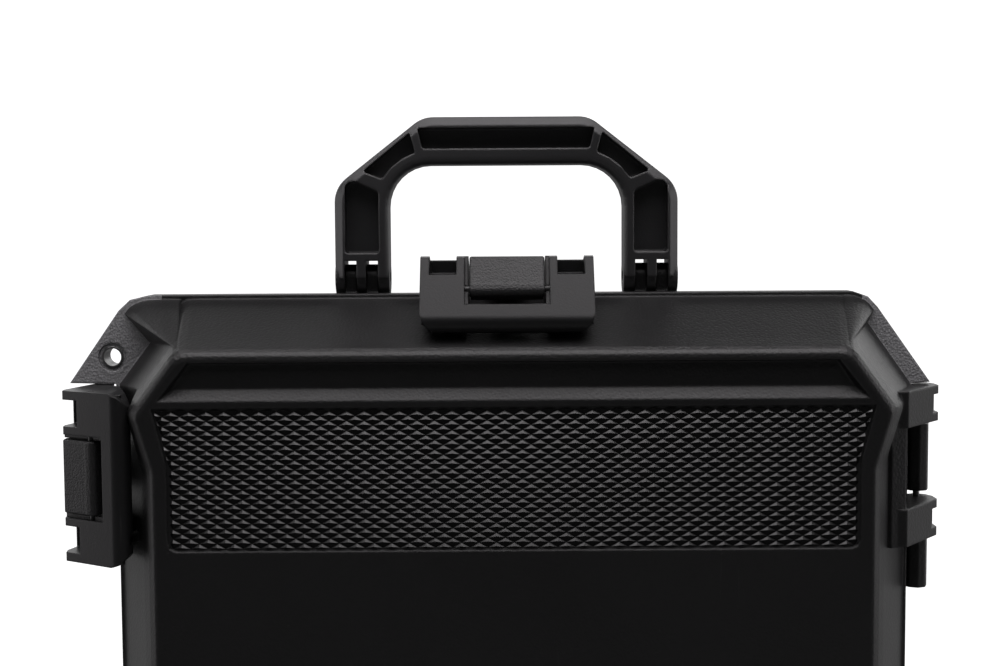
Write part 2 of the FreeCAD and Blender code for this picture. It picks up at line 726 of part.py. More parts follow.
# Narrow arm running back from the trigger to a downturned end, (y, z)
TRIGGER_ARM = [
    (-29.0, 13.0), (-25.6, 14.6), (7.5, 9.8), (10.6, 7.6), (10.6, 2.5), (6.6, 2.5),
    (6.6, 5.8), (-21.0, 6.6), (-29.0, 3.0),
]


def make_latch(name, place):
    body = new_body(name)
    pad(body, "YZ", -LATCH_HALF, LATCH_HALF, LATCH_SIDE)
    pad(body, "YZ", -LATCH_HALF, LATCH_HALF, circle(PIVOT_Y, PIVOT_Z, Case.nose_r))
    for corner in (LATCH_CORNER, flipped(LATCH_CORNER)):
        cut(body, "XZ", -60.0, -24.0, corner)
    notch = Case.notch_half
    cut(body, "YZ", -notch, notch, TRIGGER_NOTCH)
    slot = Case.trigger_half + SLOT_GAP
    cut(body, "XZ", -60.0, 30.0, box(-slot, slot, -3.1, 30.0))
    cut(body, "YZ", -slot, slot, SLOT_RELIEF)
    # Recess on each side of the notch
    window = box(notch + 3.5, LATCH_HALF - 3.9, 9.3, 30.0)
    cut(body, "XZ", -60.0, -19.0, window, flipped(window))
    cut(body, "YZ", -40.0, 40.0, circle(PIN_Y, PIN_Z, PIN_BORE))
    cut(body, "YZ", -40.0, 40.0, circle(PIVOT_Y, PIVOT_Z, PIN_BORE))
    room = [(PIVOT_Y + y, PIVOT_Z + z) for y, z in EAR_ROOM]
    for low, high in EARS:
        low, high = low - EAR_GAP, high + EAR_GAP
        cut(body, "YZ", low, high, circle(PIVOT_Y, PIVOT_Z, EAR_ROOM_R))
        cut(body, "YZ", low, high, room)
    body.Placement = place
    return body


def make_trigger(name, place):
    body = new_body(name)
    half = Case.trigger_half
    pad(body, "YZ", -half, half, TRIGGER_SIDE)
    round_edges(body, lambda e: along(e, X_AXIS) and ends(e)[0].y < -40.5, 3.0)
    round_edges(body, lambda e: flat_at(e, X_AXIS, half.value) or
                flat_at(e, X_AXIS, -half.value), 0.8)
    pad(body, "YZ", 0.6 - half, half - 0.6, circle(PIN_Y + 1.2, PIN_Z - 0.3, 4.4))
    pad(body, "YZ", -10.0, 10.0, TRIGGER_ARM)
    cut(body, "YZ", -20.0, 20.0, circle(PIN_Y, PIN_Z, PIN_BORE))
    body.Placement = place
    return body


def rot_y(x, z, angle):
    return FreeCAD.Placement(FreeCAD.Vector(x, 0, z), FreeCAD.Rotation(Y_AXIS, angle))


LATCH_PLACES = {
    "top": rot_y(Case.end_x.value, TOP.value, 0),
    "bottom": rot_y(Case.end_x.value, LOW.value, 180),
    "upper_side": rot_y(-Case.side_ref.value, SIDE_LATCH_Z[0].value, -90),
    "lower_side": rot_y(-Case.side_ref.value, SIDE_LATCH_Z[1].value, -90),
}


def make_latches():
    pieces, pivots = [], []
    pin_end = LATCH_HALF - 0.1
    pivot_end = LATCH_HALF - 0.8
    for key, place in LATCH_PLACES.items():
        pieces.append(make_latch(key + "_latch", place))
        pieces.append(make_trigger(key + "_trigger", place))
        pin = rod(-pin_end, pin_end, PIN_Y, PIN_Z, Case.pin_r, place)
        pieces.append(group(key + "_trigger_pin", [pin]))
        pivots.append(rod(-pivot_end, pivot_end, PIVOT_Y, PIVOT_Z, Case.pin_r, place))
    return pieces + [group("latch_pivot_pins", pivots)]


# ---------------------------------------------------------------- handles
# Handle frame as the latch frame, the handle standing up along z.
HANDLE_SHOULDER_X = 37.9
HANDLE_SHOULDER_Z = 48.2
OPENING_R = 19.0
OPENING_ARC_Z = 39.2
POCKET_DEPTH = 8.2
# Lightening outlines in both faces, (x, z): half of the one in the grip,
# then the corner and leg ones on the +x side
GRIP_POCKET_HALF = [(39.4, 74.8), (40.2, 74.2), (38.2, 66.2), (37.2, 65.4)]
CORNER_POCKET = [
    (44.2, 72.6), (43.4, 72.0), (41.4, 64.4), (41.9, 63.4), (47.2, 60.9),
    (52.4, 56.9), (55.8, 52.6), (57.0, 52.0), (64.3, 54.9), (64.6, 55.9),
]
LEG_POCKET = [
    (73.6, 48.4), (71.8, 50.6), (68.6, 51.0), (59.0, 46.6), (58.1, 45.2),
    (58.1, 19.2), (59.0, 18.3), (72.7, 18.3), (73.6, 19.2),
]


def handle_outline():
    half, inner, height = Case.handle_half, Case.handle_inner, Case.handle_height
    opening = [(inner, HANDLE_RISE)]
    for i in range(9):
        angle = math.pi * i / 16.0
        opening.append((inner - OPENING_R + OPENING_R * math.cos(angle),
                        OPENING_ARC_Z + OPENING_R * math.sin(angle)))
    outside = [(-half, HANDLE_RISE), (-half, HANDLE_SHOULDER_Z), (-HANDLE_SHOULDER_X, height),
               (HANDLE_SHOULDER_X, height), (half, HANDLE_SHOULDER_Z), (half, HANDLE_RISE)]
    return outside + opening + flipped(reversed(opening))


def make_handle(name, place):
    body = new_body(name)
    half, top = Case.handle_half, Case.handle_height
    front = HANDLE_Y - Case.handle_thick * 0.5
    rear = HANDLE_Y + Case.handle_thick * 0.5

    def outside_corner(edge):
        if not along(edge, Y_AXIS):
            return False
        point = ends(edge)[0]
        return point.z > 20 and (abs(point.x) > half.value - 1 or
                                 abs(point.z - top.value) < 0.1)

    def on_face(edge):
        flat = flat_at(edge, Y_AXIS, front.value) or flat_at(edge, Y_AXIS, rear.value)
        return flat and not flat_at(edge, Z_AXIS, HANDLE_RISE.value)

    def outer(edge):
        return all(abs(p.x) > 60.0 or p.z > 62.0 for p in ends(edge))

    def outer_rim(edge):
        return on_face(edge) and outer(edge)

    pad(body, "XZ", front, rear, handle_outline())
    round_edges(body, outside_corner, 14.0)
    round_edges(body, lambda e: on_face(e) and not outer(e), 3.6)
    # The outer rim takes a fillet where the kernel cannot build the chamfer.
    if round_edges(body, outer_rim, 3.9, "Chamfer") is None:
        round_edges(body, outer_rim, 3.6)
    for low, high in mirror_spans([(Case.handle_inner, half)]):
        pad(body, "YZ", low, high, circle(HANDLE_Y, HANDLE_RISE, 8.0))
    pockets = [both_sides(GRIP_POCKET_HALF), CORNER_POCKET, LEG_POCKET,
               flipped(CORNER_POCKET), flipped(LEG_POCKET)]
    cut(body, "XZ", front - 1.0, front + POCKET_DEPTH, *pockets)
    cut(body, "XZ", rear - POCKET_DEPTH, rear + 1.0, *pockets)
    for low, high in LUGS:
        cut(body, "XZ", front - 1.0, rear + 1.0,
            box(low - LUG_GAP, high + LUG_GAP, -4.0, 14.7))
    cut(body, "YZ", -half - 1.0, half + 1.0, circle(HANDLE_Y, HANDLE_RISE, HANDLE_BORE))
    body.Placement = place
    return body


def make_handles():
    """The end handle stands up; the side handle is folded toward the back."""
    end_place = rot_y(Case.end_x.value, TOP.value, 0)
    side_base = rot_y(-Case.rim_half.value, MIDDLE.value, -90)
    fold = FreeCAD.Placement(FreeCAD.Vector(0, 0, 0), FreeCAD.Rotation(X_AXIS, -90),
                             FreeCAD.Vector(0, HANDLE_Y.value, HANDLE_RISE.value))
    pieces = [make_handle("end_handle", end_place),
              make_handle("side_handle", side_base.multiply(fold))]
    pin_span = (Case.handle_inner + 0.4, Case.handle_half - 0.4)
    for name, place in (("end_handle_pins", end_place), ("side_handle_pins", side_base)):
        pins = [rod(low, high, HANDLE_Y, HANDLE_RISE, Case.handle_pin_r, place)
                for low, high in mirror_spans([pin_span])]
        pieces.append(group(name, pins))
    return pieces


# ------------------------------------------------------- hinge pins, locks
def make_hinge_pins():
    pins = []
    for origin, sign in HINGES:
        low, high = hinge_span(origin, sign, *HINGE_PIN_SPAN)
        pin = doc.addObject("Part::Cylinder", "hinge_pin")
        pin.setExpression("Radius", Case.pin_r.text)
        pin.setExpression("Height", (high - low).text)
        pin.setExpression("Placement.Base.x", HINGE_X.text)
        pin.setExpression("Placement.Base.z", low.text)
        pins.append(pin)
    return group("hinge_pins", pins)


def y_cylinder(name, x, z, radius, low, high):
    cylinder = doc.addObject("Part::Cylinder", name)
    cylinder.setExpression("Radius", radius.text)
    cylinder.Height = high - low
    cylinder.Placement = FreeCAD.Placement(FreeCAD.Vector(x.value, low, z.value),
                                           FreeCAD.Rotation(X_AXIS, -90))
    return cylinder


def make_bushings(name, low, high):
    tubes = []
    for x, z in LOCKS:
        outer = y_cylinder(name + "_outer", x, z, Case.lock_outer - 0.02, low, high)
        inner = y_cylinder(name + "_inner", x, z, Case.lock_bore, low - 1.0, high + 1.0)
        tube = doc.addObject("Part::Cut", name + "_tube")
        tube.Base = outer
        tube.Tool = inner
        tubes.append(tube)
    return group(name, tubes)


# ------------------------------------------------------------------- feet
PAD_INSET = 2.0
PAD_CORNER_R = 4.0
PAD_EDGE_R = 1.2
PAD_HOLE_R = 3.9
SCREW_HEAD_R = 3.6
SCREW_HEAD_HEIGHT = 3.0
SHANK_R = 1.45
SHANK_LENGTH = 13.0  # from the underside of the head
SOCKET_R = 1.7  # circumradius of the hexagon
SOCKET_HEIGHT = 2.5
SOCKET_OVERRUN = 1.0  # the socket cutter starts this far below the head


def make_foot_pads(name, pad_y):
    pads = []
    for side, suffix in ((1.0, "_right"), (-1.0, "_left")):
        body = new_body(name + suffix)
        x = Case.foot_x * side
        half = Case.foot_half - PAD_INSET
        pad(body, "XY", 0.0, Case.pad_h, box(x - half, x + half, *pad_y))
        round_edges(body, lambda e: along(e, Z_AXIS), PAD_CORNER_R)
        round_edges(body, lambda e: flat_at(e, Z_AXIS, 0.0), PAD_EDGE_R)
        cut(body, "XY", -1.0, Case.pad_h + 1.0, circle(x, middle(pad_y), PAD_HOLE_R))
        pads.append(body)
    return group(name, pads)


def make_foot_screws(name, pad_y):
    """Upright screws, heads down, the upper face of each head level with the pad top."""
    screws = []
    head_z = Case.pad_h.value - SCREW_HEAD_HEIGHT
    for side in (1.0, -1.0):
        x, y = Case.foot_x.value * side, middle(pad_y)
        head = doc.addObject("Part::Cylinder", name + "_head")
        head.Radius = SCREW_HEAD_R
        head.Height = SCREW_HEAD_HEIGHT
        head.Placement.Base = FreeCAD.Vector(x, y, head_z)
        shank = doc.addObject("Part::Cylinder", name + "_shank")
        shank.Radius = SHANK_R
        shank.Height = SHANK_LENGTH
        shank.Placement.Base = FreeCAD.Vector(x, y, head_z)
        socket = doc.addObject("Part::Prism", name + "_socket")
        socket.Polygon = 6
        socket.Circumradius = SOCKET_R
        socket.Height = SOCKET_HEIGHT
        socket.Placement.Base = FreeCAD.Vector(x, y, head_z - SOCKET_OVERRUN)
        solid = doc.addObject("Part::Fuse", name + "_body")
        solid.Base = head
        solid.Tool = shank
        screw = doc.addObject("Part::Cut", name + "_screw")
        screw.Base = solid
        screw.Tool = socket
        screws.append(screw)
    return group(name, screws)


# --------------------------------------------------------- build and write
lid_shell = make_lid_shell()
nodes = [make_base_shell(), lid_shell, make_gasket(), make_lid_foam(), make_base_foam()]
nodes += make_latches()
nodes += make_handles()
nodes.append(make_hinge_pins())
nodes.append(make_bushings("lid_padlock_bushings", -5.9, -0.1))
nodes.append(make_bushings("base_padlock_bushings", 0.1, 5.9))
nodes.append(make_foot_pads("base_foot_pads", BASE_PAD_Y))
nodes.append(make_foot_pads("lid_foot_pads", LID_PAD_Y))
nodes.append(make_foot_screws("base_foot_screws", BASE_PAD_Y))
nodes.append(make_foot_screws("lid_foot_screws", LID_PAD_Y))

doc.recompute()
for item in doc.Objects:
    if "Invalid" in item.State or "Error" in item.State:
        print("BAD STATE", item.Name, item.State)
shift = FreeCAD.Vector(Case.shift_x.value, Case.shift_y.value, 0.0)
for node in nodes:
    shape = node.Shape.translated(shift)
    if shape.isNull() or not shape.isValid():
        print("BAD SHAPE", node.Label)
        continue
    shape.exportStep(os.path.join("parts", node.Label + ".step"))
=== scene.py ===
"""Black moulded equipment case with latches, handles and foam, in a pale studio.

Metres, +Z up. The case stands on end: its length runs along Z, its width along X,
and the lid is on the -Y side, toward the camera.
"""
import math

import bmesh
import bpy
from mathutils import Matrix, Vector, noise


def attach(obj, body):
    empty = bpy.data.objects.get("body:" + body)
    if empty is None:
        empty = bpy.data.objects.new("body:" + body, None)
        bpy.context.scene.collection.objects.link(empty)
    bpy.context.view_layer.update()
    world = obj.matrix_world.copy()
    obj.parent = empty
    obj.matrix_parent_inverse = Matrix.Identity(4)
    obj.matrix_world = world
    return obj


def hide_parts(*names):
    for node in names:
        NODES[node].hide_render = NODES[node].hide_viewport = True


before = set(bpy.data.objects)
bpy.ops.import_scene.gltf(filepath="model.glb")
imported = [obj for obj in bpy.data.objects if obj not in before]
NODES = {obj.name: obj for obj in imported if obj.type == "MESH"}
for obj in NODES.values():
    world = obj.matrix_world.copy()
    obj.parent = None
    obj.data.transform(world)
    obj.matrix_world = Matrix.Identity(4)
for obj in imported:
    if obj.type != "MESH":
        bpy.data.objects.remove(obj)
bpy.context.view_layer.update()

MM = 0.001
scene = bpy.context.scene

# The case in its frame
RIM_TOP = 0.760
RIM_BOTTOM = 0.024
MID_Z = (RIM_TOP + RIM_BOTTOM) / 2
HALF_LENGTH = (RIM_TOP - RIM_BOTTOM) / 2
CASE_X = 0.0041  # middle line of the case
CASE_Y = -0.020  # lid depths are measured from this plane
LATCHES = ("top", "bottom", "upper_side", "lower_side")


# ------------------------------------------------------------- shader graph
class Graph:
    """A new material and short ways to add nodes to it."""

    def __init__(self, name):
        self.mat = bpy.data.materials.new(name)
        self.mat.use_nodes = True
        self.tree = self.mat.node_tree
        self.tree.nodes.clear()
        self.out = self.node("OutputMaterial")
        self.position = self.node("TexCoord").outputs["Object"]

    def feed(self, socket, value):
        """Link an output to the socket, or set a plain value."""
        if isinstance(value, (int, float, tuple)):
            socket.default_value = value
        else:
            self.tree.links.new(value, socket)

    def node(self, kind, *values, **inputs):
        """Add a node; inputs go by place, or by name with _ for a space."""
        new = self.tree.nodes.new("ShaderNode" + kind)
        for i, value in enumerate(values):
            self.feed(new.inputs[i], value)
        for key, value in inputs.items():
            self.feed(new.inputs[key.replace("_", " ")], value)
        return new

    def math(self, operation, first, second=0.0, clamp=False):
        new = self.node("Math", first, second)
        new.operation = operation
        new.use_clamp = clamp
        return new.outputs[0]

    def add(self, first, second, clamp=False):
        return self.math("ADD", first, second, clamp)

    def subtract(self, first, second):
        return self.math("SUBTRACT", first, second)

    def multiply(self, first, second, clamp=False):
        return self.math("MULTIPLY", first, second, clamp)

    def maximum(self, first, second):
        return self.math("MAXIMUM", first, second)

    def above(self, value, limit):
        return self.math("GREATER_THAN", value, limit)

    def below(self, value, limit):
        return self.math("LESS_THAN", value, limit)

    def distance(self, value, centre):
        return self.math("ABSOLUTE", self.subtract(value, centre))

    def axes(self, vector):
        return self.node("SeparateXYZ", Vector=vector).outputs

    def noise(self, scale, detail=3.0, rough=0.55, vector=None):
        vector = vector or self.position
        return self.node("TexNoise", Scale=scale, Detail=detail, Roughness=rough,
                         Vector=vector).outputs["Fac"]

    def cells(self, scale):
        return self.node("TexVoronoi", Scale=scale, Vector=self.position).outputs["Distance"]

    def stretched(self, scale, rotation=(0, 0, 0)):
        return self.node("Mapping", Scale=scale, Rotation=rotation,
                         Vector=self.position).outputs["Vector"]

    def ramp(self, value, start, end, low=0.0, high=1.0):
        """Smooth step from low at start to high at end."""
        new = self.node("MapRange", From_Min=start, From_Max=end, To_Min=low, To_Max=high,
                        Value=value)
        new.interpolation_type = "SMOOTHSTEP"
        return new.outputs["Result"]

    def patches(self, scale, start, end, low=0.0, high=1.0, **noise_settings):
        """Noise cut into patches by a ramp."""
        return self.ramp(self.noise(scale, **noise_settings), start, end, low, high)

    def mix(self, amount, first, second):
        new = self.node("Mix", amount)
        new.data_type = "RGBA"
        self.feed(new.inputs[6], first)
        self.feed(new.inputs[7], second)
        return new.outputs[2]

    def rounded(self, radius_mm):
        """Normal softened over the edges."""
        new = self.node("Bevel", Radius=radius_mm * MM)
        new.samples = 4
        return new.outputs["Normal"]

    def bump(self, height, strength, distance, **normal):
        return self.node("Bump", Strength=strength, Distance=distance, Height=height,
                         **normal).outputs["Normal"]

    def finish(self, shader):
        self.feed(self.out.inputs["Surface"], shader.outputs[0])
        return self.mat


def grey(value, blue=0.0):
    return (value, value, value * (1.0 + blue), 1.0)


# --------------------------------------------------------- shell markings
PLATE_INNER_X = 0.158    # plates start this far out from the middle line
PLATE_LENGTH = 0.0425    # and reach this far from each end
PLATE_DEPTH = 0.0075     # they lie behind this depth
PLATE_FACING = 0.97
INSERT_SHIFT_X = -0.0023
INSERT_HALF_WIDTH = 0.0588
INSERT_LENGTH = 0.0125
INSERT_DEPTH = 0.010     # the line shows in front of this depth
LINE_HALF_WIDTH = 0.00016


def from_end(graph, z):
    """Distance in from the nearer end of the case."""
    return graph.subtract(HALF_LENGTH, graph.distance(z, MID_Z))


def plate_mask(graph, geometry):
    """1 on the corner plates, which carry a coarser texture and a painted sheen."""
    x, y, z = graph.axes(graph.position)
    x = graph.subtract(x, CASE_X)
    end = from_end(graph, z)
    normal_y = graph.axes(geometry.outputs["Normal"])["Y"]
    facing = graph.above(graph.math("ABSOLUTE", normal_y), PLATE_FACING)
    shallow = graph.above(y, CASE_Y - PLATE_DEPTH)
    left = graph.above(graph.multiply(x, -1.0), PLATE_INNER_X)
    right = graph.above(x, PLATE_INNER_X)
    side = graph.maximum(left, right)
    ends = graph.below(end, PLATE_LENGTH)
    return graph.multiply(graph.multiply(facing, shallow), graph.multiply(side, ends))


def insert_line(graph):
    """Hairline left by the tool insert around the end latches."""
    x, y, z = graph.axes(graph.position)
    x = graph.distance(x, CASE_X + INSERT_SHIFT_X)
    end = from_end(graph, z)
    upright = graph.below(graph.distance(x, INSERT_HALF_WIDTH), LINE_HALF_WIDTH)
    upright = graph.multiply(upright, graph.below(end, INSERT_LENGTH))
    flat = graph.below(graph.distance(end, INSERT_LENGTH), LINE_HALF_WIDTH)
    flat = graph.multiply(flat, graph.below(x, INSERT_HALF_WIDTH))
    return graph.multiply(graph.maximum(upright, flat), graph.below(y, CASE_Y - INSERT_DEPTH))


# ------------------------------------------------------------- materials
def edge_wear_and_highlight(graph, geometry, normal, edge):
    """Broken rubbing and a painted edge highlight where the rounded normal leaves the true one.
    """
    dot = graph.node("VectorMath", normal, geometry.outputs["Normal"])
    dot.operation = "DOT_PRODUCT"
    wear_and_highlight = graph.ramp(dot.outputs["Value"], start=0.995, end=0.86)
    broken = graph.patches(60.0, start=0.38, end=0.68, detail=5.0, rough=0.6)
    return graph.multiply(graph.multiply(wear_and_highlight, broken), edge, clamp=True)


def scuff_marks(graph, scuff):
    """Long thin scratches and specks of dust, both in patches."""
    lines = graph.stretched(scale=(700, 700, 26), rotation=(0.5, 0.35, 0.2))
    scratch = graph.multiply(
        graph.patches(1.0, start=0.70, end=0.76, detail=2.0, rough=0.5, vector=lines),
        graph.patches(24.0, start=0.5, end=0.66, detail=2.0))
    dust = graph.multiply(
        graph.patches(520.0, start=0.72, end=0.80, detail=2.0, rough=0.5),
        graph.patches(30.0, start=0.46, end=0.62))
    # Scratches count half as much as dust
    return graph.multiply(graph.maximum(graph.multiply(scratch, 0.5), dust), scuff, clamp=True)


def plastic(name, base, rough, grain, bump, edge, bevel, scuff, specular,
            coarse=0.0, plates=False, matte_low=False):
    """Moulded black plastic: grain, slow colour drift, rubbed edges with a painted highlight,
    scuffs and dust.

    base is the grey level, grain a texture scale, bevel a radius in mm; coarse adds pebble
    height, plates adds rocky cells and a painted sheen on the corner plates, and matte_low
    dulls faces that look down.
    """
    graph = Graph(name)
    geometry = graph.node("NewGeometry")
    fine = graph.noise(grain, detail=4.0, rough=0.6)
    # Cells a little larger than the fine grain
    pebble = graph.ramp(graph.cells(grain * 0.55), start=0.05, end=0.75)
    height = graph.add(graph.multiply(fine, 0.6), graph.multiply(pebble, 0.4 + coarse))
    if plates:
        # Raise rocky cells on the plates and sink the insert line
        mask = plate_mask(graph, geometry)
        rocky = graph.multiply(graph.cells(900.0), 2.6)
        height = graph.add(height, graph.multiply(rocky, mask))
        height = graph.subtract(height, graph.multiply(insert_line(graph), 1.2))
    rounded = graph.rounded(bevel)
    normal = graph.bump(height, strength=bump, distance=0.0003, Normal=rounded)
    wear_and_highlight = edge_wear_and_highlight(graph, geometry, rounded, edge)
    drift = graph.patches(9.0, start=0.3, end=0.7, rough=0.5)
    marks = scuff_marks(graph, scuff)

    # Each layer lightens the colour by its own share
    colour = graph.mix(drift, grey(base * 0.8, blue=0.05), grey(base * 1.2, blue=0.05))
    colour = graph.mix(graph.multiply(fine, 0.5), colour, grey(base * 1.7, blue=0.05))
    # Edges painted lighter: partly rubbed wear, partly a painted highlight
    colour = graph.mix(graph.multiply(wear_and_highlight, 0.35), colour, grey(base * 3.5 + 0.02))
    colour = graph.mix(graph.multiply(marks, 0.5), colour, grey(0.16))
    if plates:
        # Painted sheen: the corner plates are painted light grey in fine speckles, standing in
        # for side light caught by their coarse texture
        plate_sheen_speckle = graph.patches(1900.0, start=0.3, end=0.7, low=0.55, high=1.0, rough=0.7)
        colour = graph.mix(graph.multiply(mask, plate_sheen_speckle), colour, grey(0.50, blue=0.03))

    # Grain and marks roughen the surface, the rubbed and highlighted edges are polished
    roughness = graph.add(rough - 0.05, graph.multiply(drift, 0.07))
    roughness = graph.add(roughness, graph.multiply(fine, 0.08))
    roughness = graph.subtract(roughness, graph.multiply(wear_and_highlight, 0.10))
    roughness = graph.add(roughness, graph.multiply(marks, 0.2), clamp=True)

    shader = graph.node("BsdfPrincipled", Base_Color=colour, Roughness=roughness,
                        Specular_IOR_Level=specular, Normal=normal)
    if matte_low:
        normal_z = graph.axes(geometry.outputs["Normal"])["Z"]
        shine = graph.ramp(normal_z, start=-0.1, end=0.3, low=0.14, high=specular)
        graph.feed(shader.inputs["Specular IOR Level"], shine)
    return graph.finish(shader)


def steel(name, base, rough, bevel=0.25, brushed=(40.0, 4000.0, 4000.0)):
    """Brushed steel; brushed is the streak scale along x, y, z."""
    graph = Graph(name)
    streak = graph.noise(1.0, rough=0.6, vector=graph.stretched(brushed))
    blot = graph.noise(220.0, detail=4.0, rough=0.6)
    normal = graph.bump(streak, strength=0.12, distance=0.0001, Normal=graph.rounded(bevel))
    colour = graph.mix(streak, grey(base * 0.8), grey(base * 1.15))
    colour = graph.mix(graph.ramp(blot, start=0.5, end=0.75), colour, grey(base * 0.55))
    roughness = graph.add(rough, graph.multiply(blot, 0.18))  # blots are duller
    return graph.finish(graph.node("BsdfPrincipled", Base_Color=colour, Roughness=roughness,
                                   Metallic=1.0, Normal=normal))


def rubber(name, base, rough):
    """Dusty matte rubber."""
    graph = Graph(name)
    fine = graph.noise(1400.0, detail=4.0, rough=0.65)
    dust = graph.patches(45.0, start=0.45, end=0.75, detail=5.0, rough=0.65)
    normal = graph.bump(fine, strength=0.3, distance=0.0002, Normal=graph.rounded(0.6))
    colour = graph.mix(dust, grey(base), grey(base * 2.4))
    roughness = graph.add(rough, graph.multiply(dust, 0.15), clamp=True)  # dust is duller
    return graph.finish(graph.node("BsdfPrincipled", Base_Color=colour, Roughness=roughness,
                                   Sheen_Weight=0.08, Normal=normal))


def foam(name, base):
    """Open-cell foam: dark pits between lighter cell walls."""
    graph = Graph(name)
    cell = graph.ramp(graph.cells(520.0), start=0.05, end=0.6)
    fine = graph.noise(1300.0, detail=4.0, rough=0.7)
    drift = graph.patches(14.0, start=0.3, end=0.7)
    # Cells make most of the height, fine noise the rest
    height = graph.add(graph.multiply(cell, 0.7), graph.multiply(fine, 0.5))
    normal = graph.bump(height, strength=0.85, distance=0.0006)
    colour = graph.mix(cell, grey(base * 0.45, blue=0.08), grey(base * 1.25, blue=0.08))
    colour = graph.mix(graph.multiply(drift, 0.4), colour, grey(base * 1.6, blue=0.1))
    return graph.finish(graph.node(
        "BsdfPrincipled", Base_Color=colour, Roughness=0.95, Specular_IOR_Level=0.15,
        Sheen_Weight=0.35, Sheen_Roughness=0.6, Normal=normal))


MATERIALS = {
    "shell": plastic("shell_grain", base=0.0080, rough=0.39, grain=1300.0, bump=0.36, edge=0.9,
                     bevel=1.5, scuff=0.25, specular=0.6, coarse=0.25, plates=True),
    "grip": plastic("grip_grain", base=0.0035, rough=0.24, grain=1500.0, bump=0.06, edge=1.0,
                    bevel=0.12, scuff=0.2, specular=1.0, matte_low=True),
    "handle": plastic("handle_satin", base=0.036, rough=0.38, grain=1900.0, bump=0.14,
                      edge=1.8, bevel=1.5, scuff=1.0, specular=0.8),
    "latch": plastic("latch_satin", base=0.012, rough=0.35, grain=1700.0, bump=0.12,
                     edge=1.6, bevel=1.1, scuff=0.6, specular=0.42),
    "trigger": plastic("trigger_grain", base=0.014, rough=0.44, grain=1900.0, bump=0.50,
                       edge=1.2, bevel=1.0, scuff=0.4, specular=0.65, coarse=0.3),
    "pin": steel("pin_steel", base=0.10, rough=0.38),
    "hinge_pin": steel("hinge_pin_steel", base=0.34, rough=0.30),
    "bushing": steel("bushing_steel", base=0.40, rough=0.30, bevel=0.35,
                     brushed=(60.0, 2600.0, 60.0)),
    "screw": steel("screw_steel", base=0.35, rough=0.35, bevel=0.3,
                   brushed=(700.0, 700.0, 700.0)),
    "gasket": rubber("gasket_rubber", base=0.018, rough=0.62),
    "pad": rubber("pad_rubber", base=0.022, rough=0.78),
    "foam": foam("open_cell_foam", base=0.03),
}

# CAD pieces that wear each material
PIECES = {
    "shell": ["base_shell", "lid_shell"],
    "handle": ["end_handle", "side_handle"],
    "latch": [place + "_latch" for place in LATCHES],
    "trigger": [place + "_trigger" for place in LATCHES],
    "pin": [place + "_trigger_pin" for place in LATCHES]
           + ["latch_pivot_pins", "end_handle_pins", "side_handle_pins"],
    "hinge_pin": ["hinge_pins"],
    "bushing": ["lid_padlock_bushings", "base_padlock_bushings"],
    "screw": ["base_foot_screws", "lid_foot_screws"],
    "pad": ["base_foot_pads", "lid_foot_pads"],
    "gasket": ["lid_gasket"],
    "foam": ["lid_foam", "base_foam"],
}
SMOOTHED = ("shell", "latch", "trigger", "handle", "foam")
SHARP_ANGLE = math.radians(27.0)


def dress(piece, material):
    """Give a CAD piece its material, and even shading where it is moulded."""
    mesh = piece.data
    mesh.materials.clear()
    mesh.materials.append(MATERIALS[material])
    for face in mesh.polygons:
        face.material_index = 0
    if material in SMOOTHED:
        mesh.shade_smooth()
        mesh.set_sharp_from_angle(angle=SHARP_ANGLE)
        even = piece.modifiers.new("even_normals", "WEIGHTED_NORMAL")
        even.keep_sharp = True
        even.weight = 80


for material, names in PIECES.items():
    for name in names:
        dress(NODES[name], material)


def mesh_object(name, verts, faces, material):
    mesh = bpy.data.meshes.new(name)
    mesh.from_pydata(verts, [], faces)
    mesh.update()
    mesh.materials.append(material)
    new = bpy.data.objects.new(name, mesh)
    scene.collection.objects.link(new)
    return new


# ------------------------------------------------- grip panel (mm in this part)
# Outline of the panel: distance below the top rim, half width
PANEL_EDGE = [(46.1, 153.6), (58.0, 150.6), (70.0, 147.6), (103.8, 147.6),
              (106.3, 146.4), (107.4, 144.0)]
PANEL_MARGIN = 1.1
POINTS_TOP, POINTS_END = 47.1, 106.4  # the points lie between these, below the rim
FIRST_ROW = 0.4
PITCH_X, PITCH_Z = 7.45, 4.2
HALF_X, HALF_Z = PITCH_X * 0.485, PITCH_Z * 0.465  # half a point, with a gap left
FOOT_Y, PEAK_Y = -51.02, -51.98
PEAK_RISE = 0.30                      # peak set toward the top, share of HALF_Z
OVERHANG = 0.30                       # share of a pitch a centre may lie outside
COLUMNS_EACH_SIDE = 22
MIN_WIDTH, MIN_HEIGHT = 1.2, 0.9      # trimmed points smaller than this are left out


def clamp(value, low, high):
    return min(max(value, low), high)


def points_half_width(below):
    for (start, wide), (end, next_wide) in zip(PANEL_EDGE, PANEL_EDGE[1:]):
        if below <= end:
            half = wide + (next_wide - wide) * (below - start) / (end - start)
            return half - PANEL_MARGIN


def trimmed(x, below):
    below = clamp(below, POINTS_TOP, POINTS_END)
    limit = points_half_width(below)
    return clamp(x, -limit, limit), below


def grip_point(x, below):
    """Four trimmed foot corners and the peak."""
    corners = [(x - HALF_X, below), (x, below - HALF_Z), (x + HALF_X, below),
               (x, below + HALF_Z), (x, below - PEAK_RISE * HALF_Z)]
    return [trimmed(*corner) for corner in corners]


